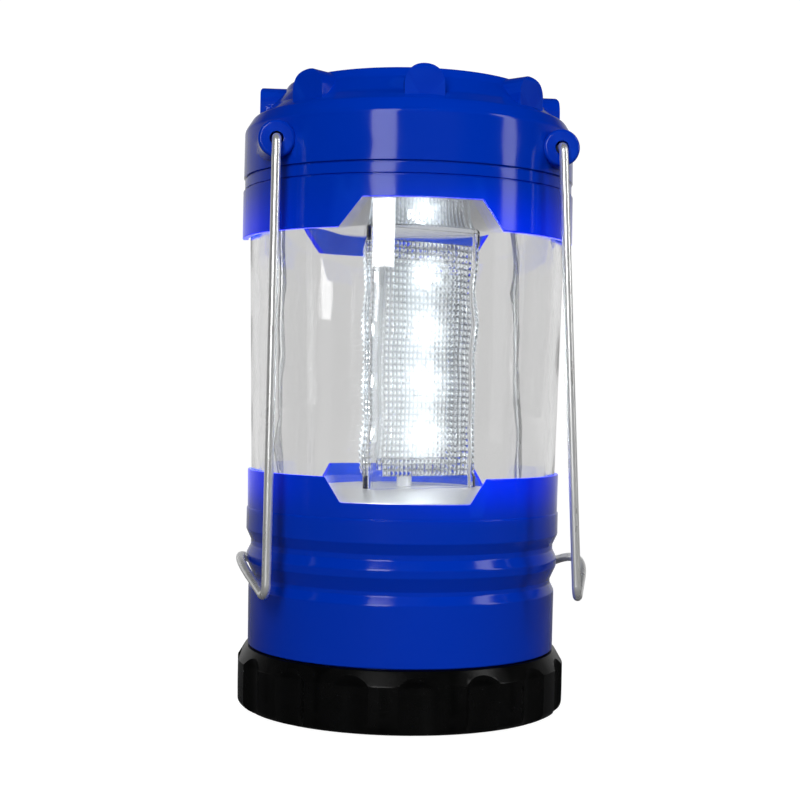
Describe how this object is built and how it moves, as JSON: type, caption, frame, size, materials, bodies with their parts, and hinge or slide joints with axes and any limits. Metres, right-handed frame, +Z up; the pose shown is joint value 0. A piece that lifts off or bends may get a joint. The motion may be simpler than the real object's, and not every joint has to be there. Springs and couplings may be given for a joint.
{
  "type": "camping lantern",
  "caption": "Battery camping lantern: blue notched cap and body round a clear globe with a prism lamp column, two wire bails and a twist dimmer base.",
  "frame": {"origin": "centre of the underside, on the lantern's axis, at the height the base plate stands on", "axes": "+Z up along the lantern's axis, -Y towards the notched front, +X to the right seen from the front"},
  "size_m": [0.0941, 0.089, 0.166],
  "materials": {
    "blue_plastic": "glossy moulded",
    "ring_plastic": "semi-gloss moulded",
    "black_plastic": "satin moulded",
    "globe_clear": "clear polished",
    "lens_clear": "clear with a prismatic face",
    "mirror_coat": "vacuum-coated mirror",
    "seal_rubber": "soft matte",
    "white_plastic": "satin",
    "white_board": "solder mask",
    "green_board": "solder mask",
    "screw_steel": "plated",
    "bail_wire": "bright drawn wire",
    "cell_jacket": "printed sleeve, plain",
    "terminal_steel": "nickel plated",
    "contact_brass": "bright",
    "part_plastic": "moulded",
    "lead_cover": "insulation",
    "lamp_phosphor": "lit phosphor"
  },
  "bodies": {
    "housing": {"lower_body": "blue_plastic", "cap": "blue_plastic", "cap_plug": "blue_plastic", "cap_screw": "screw_steel", "ceiling_reflector": "mirror_coat", "floor_reflector": "mirror_coat", "globe": "globe_clear", "gasket_lower": "seal_rubber", "gasket_upper": "seal_rubber", "lens_column": "lens_clear", "led_core": "white_plastic", "led_boards": "white_board", "leds": "white_plastic", "led_domes": "lamp_phosphor", "core_screw": "screw_steel", "battery_holder": "black_plastic", "holder_screws": "screw_steel", "aa_cells": "cell_jacket", "cell_terminals": "terminal_steel", "top_contacts": "contact_brass", "side_strip": "contact_brass", "base_plate": "black_plastic", "base_screws": "screw_steel", "dimmer_board": "green_board", "board_screws": "screw_steel", "board_parts": "part_plastic", "potentiometer": "part_plastic", "battery_leads": "lead_cover", "lamp_leads": "lead_cover"},
    "dial": {"dimmer_ring": "ring_plastic"},
    "pinion": {"pot_gear": "white_plastic"},
    "door": {"battery_door": "black_plastic", "door_screw": "screw_steel", "door_contacts": "contact_brass", "door_springs": "terminal_steel"},
    "left_bail": {"bail_left": "bail_wire"},
    "right_bail": {"bail_right": "bail_wire"}
  },
  "joints": [
    {"name": "dimmer_turn", "type": "hinge", "parent": "housing", "child": "dial", "pos_m": [0, 0, 0.008], "axis": [0, 0, 1], "range_deg": [0, 60]},
    {"name": "pinion_turn", "type": "hinge", "parent": "housing", "child": "pinion", "pos_m": [0, 0.028, 0.0042], "axis": [0, 0, 1], "range_deg": [0, 270]},
    {"name": "door_lift", "type": "slide", "parent": "housing", "child": "door", "axis": [0, 0, -1], "range_m": [0, 0.06]},
    {"name": "bail_left_swing", "type": "hinge", "parent": "housing", "child": "left_bail", "pos_m": [-0.036, 0, 0.1473], "axis": [0, 1, 0], "range_deg": [0, 192]},
    {"name": "bail_right_swing", "type": "hinge", "parent": "housing", "child": "right_bail", "pos_m": [0.036, 0, 0.1473], "axis": [0, -1, 0], "range_deg": [0, 190]}
  ],
  "couplings": [
    {"joint": "pinion_turn", "follows": "dimmer_turn", "ratio": 4.5}
  ]
}
